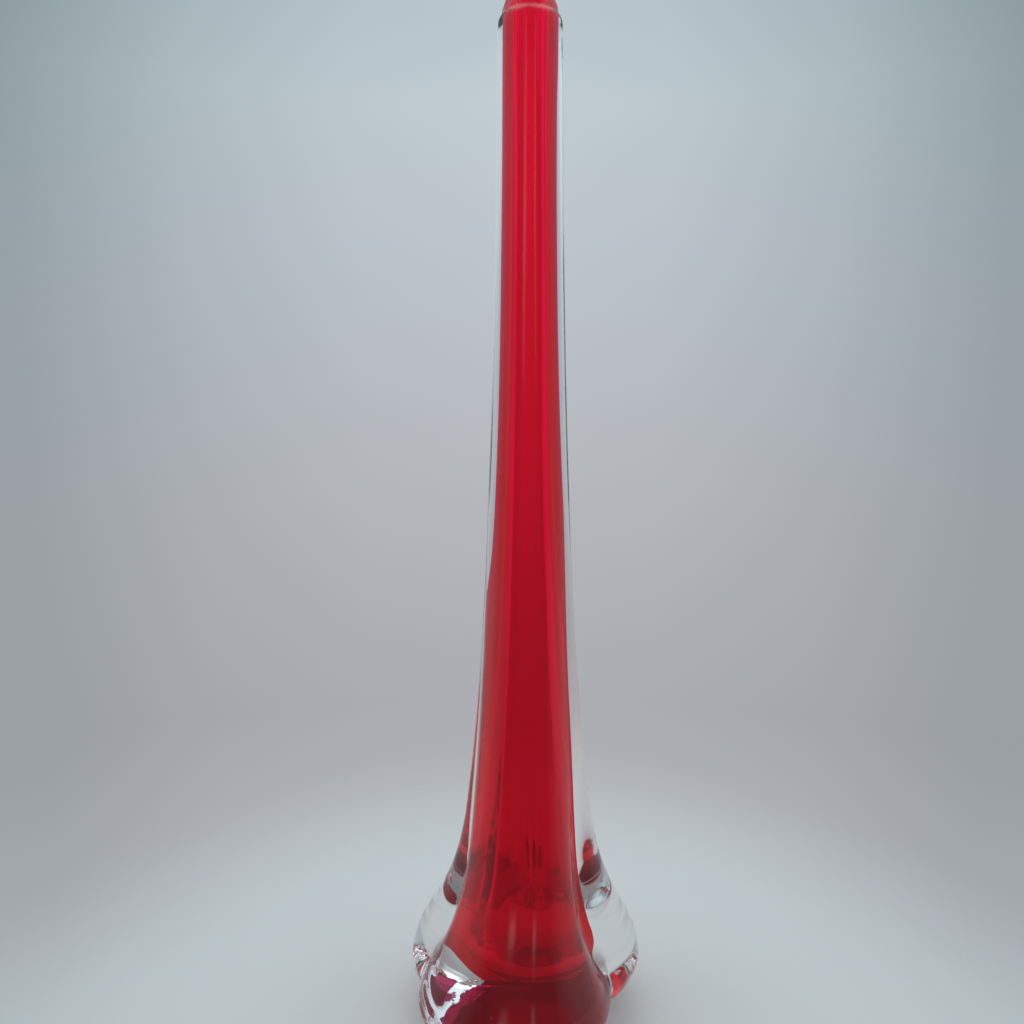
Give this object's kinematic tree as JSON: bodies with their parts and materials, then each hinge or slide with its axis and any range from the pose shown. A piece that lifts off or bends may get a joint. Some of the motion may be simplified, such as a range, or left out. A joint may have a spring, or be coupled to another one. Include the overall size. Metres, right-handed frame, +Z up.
{
  "type": "vase",
  "caption": "Tall slim hand blown cased glass bud vase: a ruby lining inside thick clear glass, with a narrow neck and a heavy lobed clear foot.",
  "frame": {"origin": "on the neck's axis, at the resting face under the foot", "axes": "+Z up the neck, the front lobe towards -Y, +X to the right seen from the front"},
  "size_m": [0.0912, 0.0914, 0.38],
  "materials": {
    "clear_glass": "polished colourless crystal glass, smooth and wet looking, with a few seed bubbles low in the foot",
    "ruby_glass": "transparent selenium ruby glass, bright scarlet in the neck and deeper red in the body"
  },
  "bodies": {
    "root": {"clear_casing": "clear_glass", "ruby_lining": "ruby_glass"}
  },
  "joints": []
}
